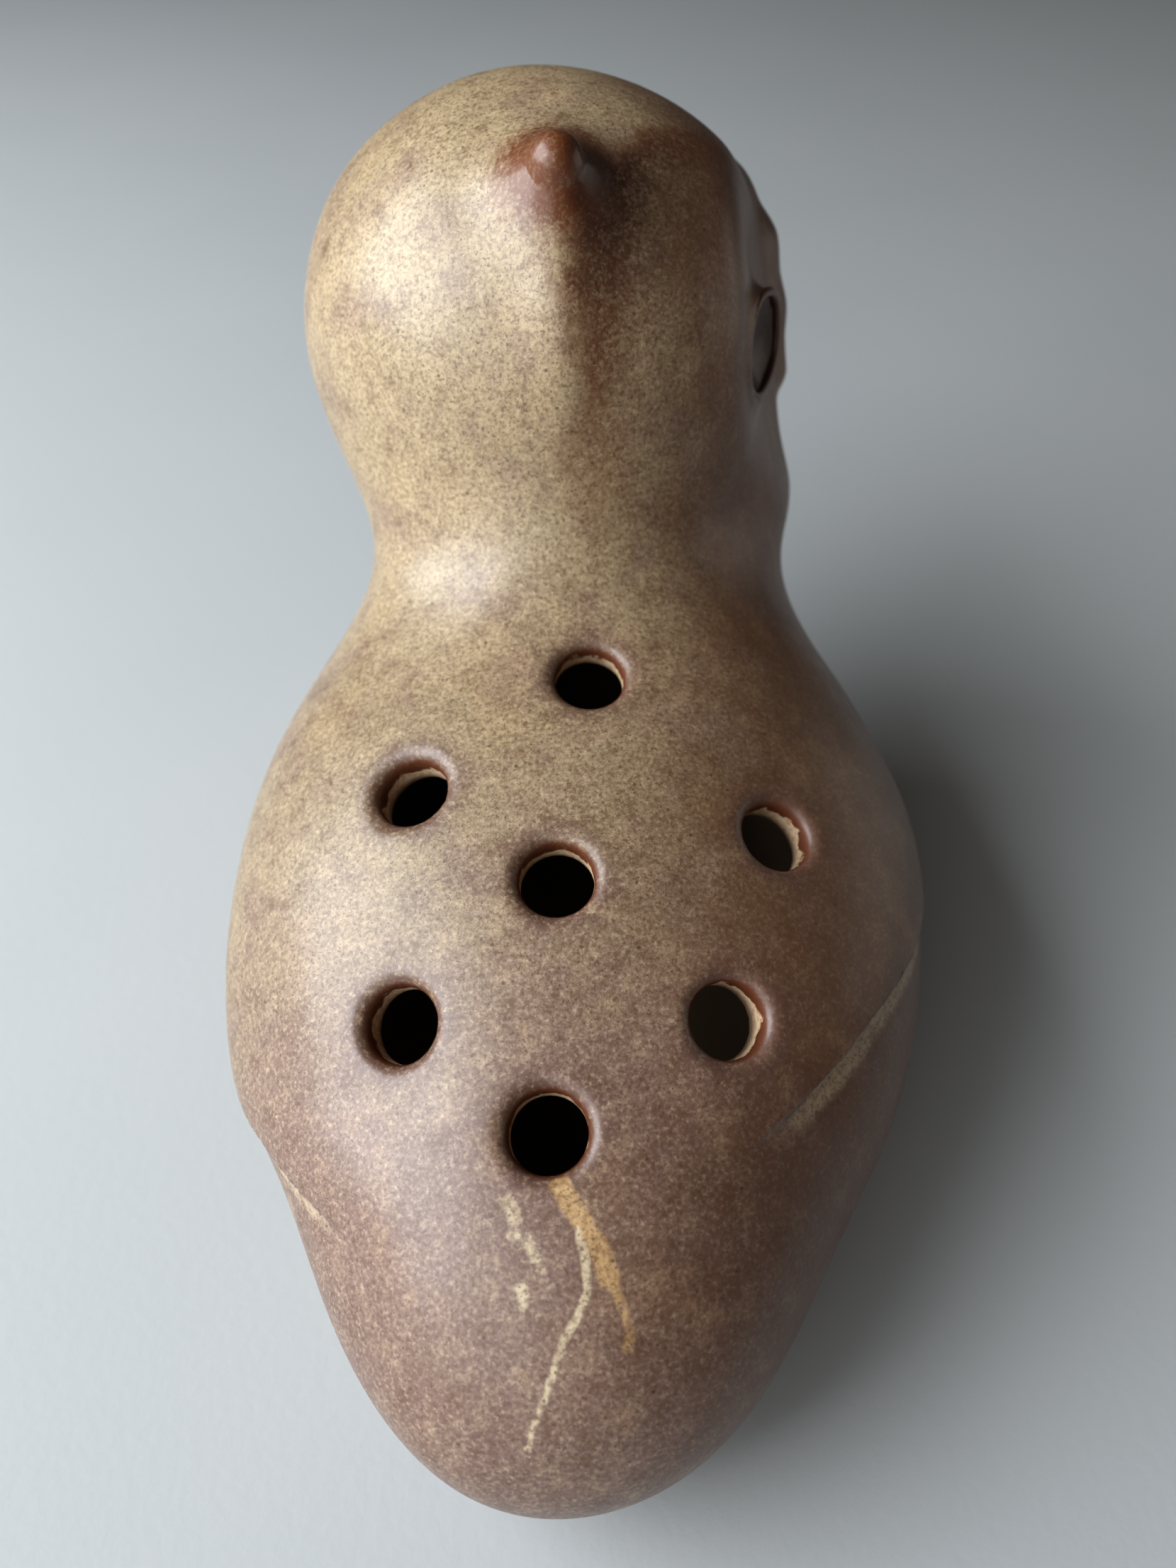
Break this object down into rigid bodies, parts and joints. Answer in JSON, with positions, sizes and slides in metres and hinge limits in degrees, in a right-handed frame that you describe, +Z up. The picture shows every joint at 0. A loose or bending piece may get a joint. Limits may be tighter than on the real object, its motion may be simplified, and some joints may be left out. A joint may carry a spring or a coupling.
{
  "type": "ocarina",
  "caption": "Owl-shaped glazed stoneware ocarina: a hollow clay vessel flute with finger holes in the back, thumb holes in the belly and a whistle in the tail.",
  "frame": {"origin": "on the table under the belly, on the flat foot's face", "axes": "+Y from the mouthpiece in the tail towards the head, +Z up from the foot, +X to the owl's right wing, on the viewer's right from behind the tail"},
  "size_m": [0.0839, 0.154, 0.1023],
  "materials": {
    "back_glaze": "satin speckled glaze, olive tan with mauve brown around the holes",
    "belly_glaze": "satin speckled glaze",
    "tail_glaze": "satin speckled glaze, mauve brown",
    "head_glaze": "satin speckled glaze, golden tan",
    "face_glaze": "satin speckled glaze, brown",
    "tuft_glaze": "glossy red-brown glaze, thick and pooled",
    "eye_glaze": "glossy dark red-brown glaze",
    "wing_glaze": "satin speckled glaze, thin on the edges",
    "bare_clay": "matt unglazed buff stoneware"
  },
  "bodies": {
    "root": {"back_shell": "back_glaze", "belly_shell": "belly_glaze", "tail_mouthpiece": "tail_glaze", "labium": "bare_clay", "head_back_shell": "head_glaze", "head_face_shell": "face_glaze", "body_seam_coil": "bare_clay", "neck_seam_coil": "bare_clay", "head_seam_coil": "bare_clay", "right_ear_tuft": "tuft_glaze", "left_ear_tuft": "tuft_glaze", "right_eye_ring": "eye_glaze", "left_eye_ring": "eye_glaze", "beak": "tuft_glaze", "right_wing": "wing_glaze", "left_wing": "wing_glaze"}
  },
  "joints": []
}
